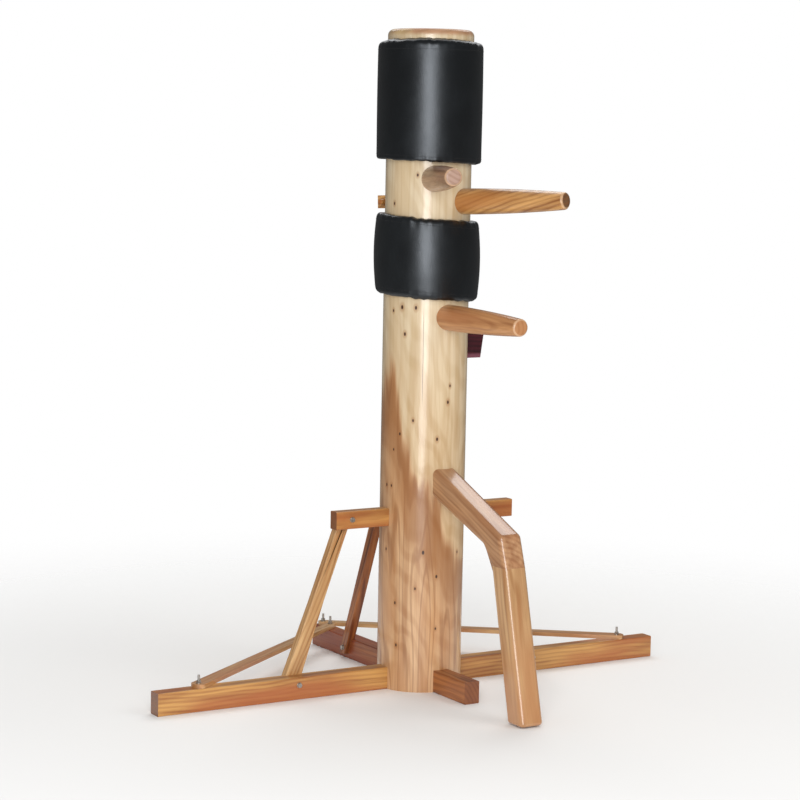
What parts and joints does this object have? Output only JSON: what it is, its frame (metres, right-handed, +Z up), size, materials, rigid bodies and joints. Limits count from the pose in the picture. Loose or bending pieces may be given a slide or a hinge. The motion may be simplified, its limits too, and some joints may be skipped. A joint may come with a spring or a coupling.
{
  "type": "wooden training dummy",
  "caption": "Free-standing round wooden trunk on a braced cross foot, with turned arms, a bent leg and wrapped black pads, for striking practice.",
  "frame": {"origin": "middle of the trunk's foot, on the floor, where the two beams cross", "axes": "+Z up along the trunk, -Y to the front where the arms and leg point, +X along the cross beam, to the right for someone who stands in front and faces the dummy. Left and right in the node names are that person's."},
  "size_m": [1.44, 1.0188, 1.62],
  "materials": {
    "trunk_wood": "varnished, satin gloss",
    "beam_wood": "varnished, reddish streaks",
    "strut_wood": "varnished",
    "dark_wood": "varnished, dark red-brown",
    "arm_wood": "turned and varnished",
    "leg_wood": "varnished, glossy",
    "peg_wood": "plain, sanded",
    "red_wood": "dark red stain",
    "leather": "smooth, soft sheen",
    "foam": "dense foam",
    "steel": "zinc plated"
  },
  "bodies": {
    "frame": {"trunk": "trunk_wood", "cross_beam": "beam_wood", "front_rear_beam": "beam_wood", "upper_crossbar": "beam_wood", "upper_rear_bar": "dark_wood", "left_strut": "strut_wood", "right_strut": "strut_wood", "rear_strut": "dark_wood", "left_brace": "strut_wood", "right_brace": "strut_wood", "side_block": "red_wood", "strut_bolts": "steel", "strut_washers": "steel", "strut_nuts": "steel", "brace_bolts": "steel", "brace_washers": "steel", "brace_nuts": "steel", "coach_screws": "steel", "upper_pad_cover": "leather", "upper_pad_foam": "foam", "upper_pad_flap": "leather", "lower_pad_cover": "leather", "lower_pad_foam": "foam", "lower_pad_flap": "leather"},
    "upper_arm_left": {"upper_arm_left": "arm_wood"},
    "upper_arm_left_peg": {"upper_arm_left_peg": "peg_wood"},
    "upper_arm_right": {"upper_arm_right": "arm_wood"},
    "upper_arm_right_peg": {"upper_arm_right_peg": "peg_wood"},
    "middle_arm": {"middle_arm": "arm_wood"},
    "middle_arm_peg": {"middle_arm_peg": "peg_wood"},
    "leg": {"leg_thigh": "leg_wood", "leg_shin": "leg_wood", "knee_dowels": "peg_wood"},
    "leg_peg": {"leg_peg": "peg_wood"}
  },
  "joints": [
    {"name": "upper_arm_left_slide", "type": "slide", "parent": "frame", "child": "upper_arm_left", "axis": [-0.3985, -0.9165, 0.0349], "range_m": [0, 0.0065]},
    {"name": "upper_arm_left_peg_pull", "type": "slide", "parent": "upper_arm_left", "child": "upper_arm_left_peg", "axis": [0.9171, -0.3987, 0], "range_m": [0, 0.06]},
    {"name": "upper_arm_right_slide", "type": "slide", "parent": "frame", "child": "upper_arm_right", "axis": [0.3985, -0.9165, 0.0349], "range_m": [0, 0.0065]},
    {"name": "upper_arm_right_peg_pull", "type": "slide", "parent": "upper_arm_right", "child": "upper_arm_right_peg", "axis": [-0.9171, -0.3987, 0], "range_m": [0, 0.06]},
    {"name": "middle_arm_slide", "type": "slide", "parent": "frame", "child": "middle_arm", "axis": [0, -1, 0], "range_m": [0, 0.0065]},
    {"name": "middle_arm_peg_pull", "type": "slide", "parent": "middle_arm", "child": "middle_arm_peg", "axis": [1, 0, 0], "range_m": [0, 0.06]},
    {"name": "leg_slide", "type": "slide", "parent": "frame", "child": "leg", "axis": [0, -1, 0], "range_m": [0, 0.0065]},
    {"name": "leg_peg_pull", "type": "slide", "parent": "leg", "child": "leg_peg", "axis": [1, 0, 0], "range_m": [0, 0.06]}
  ]
}
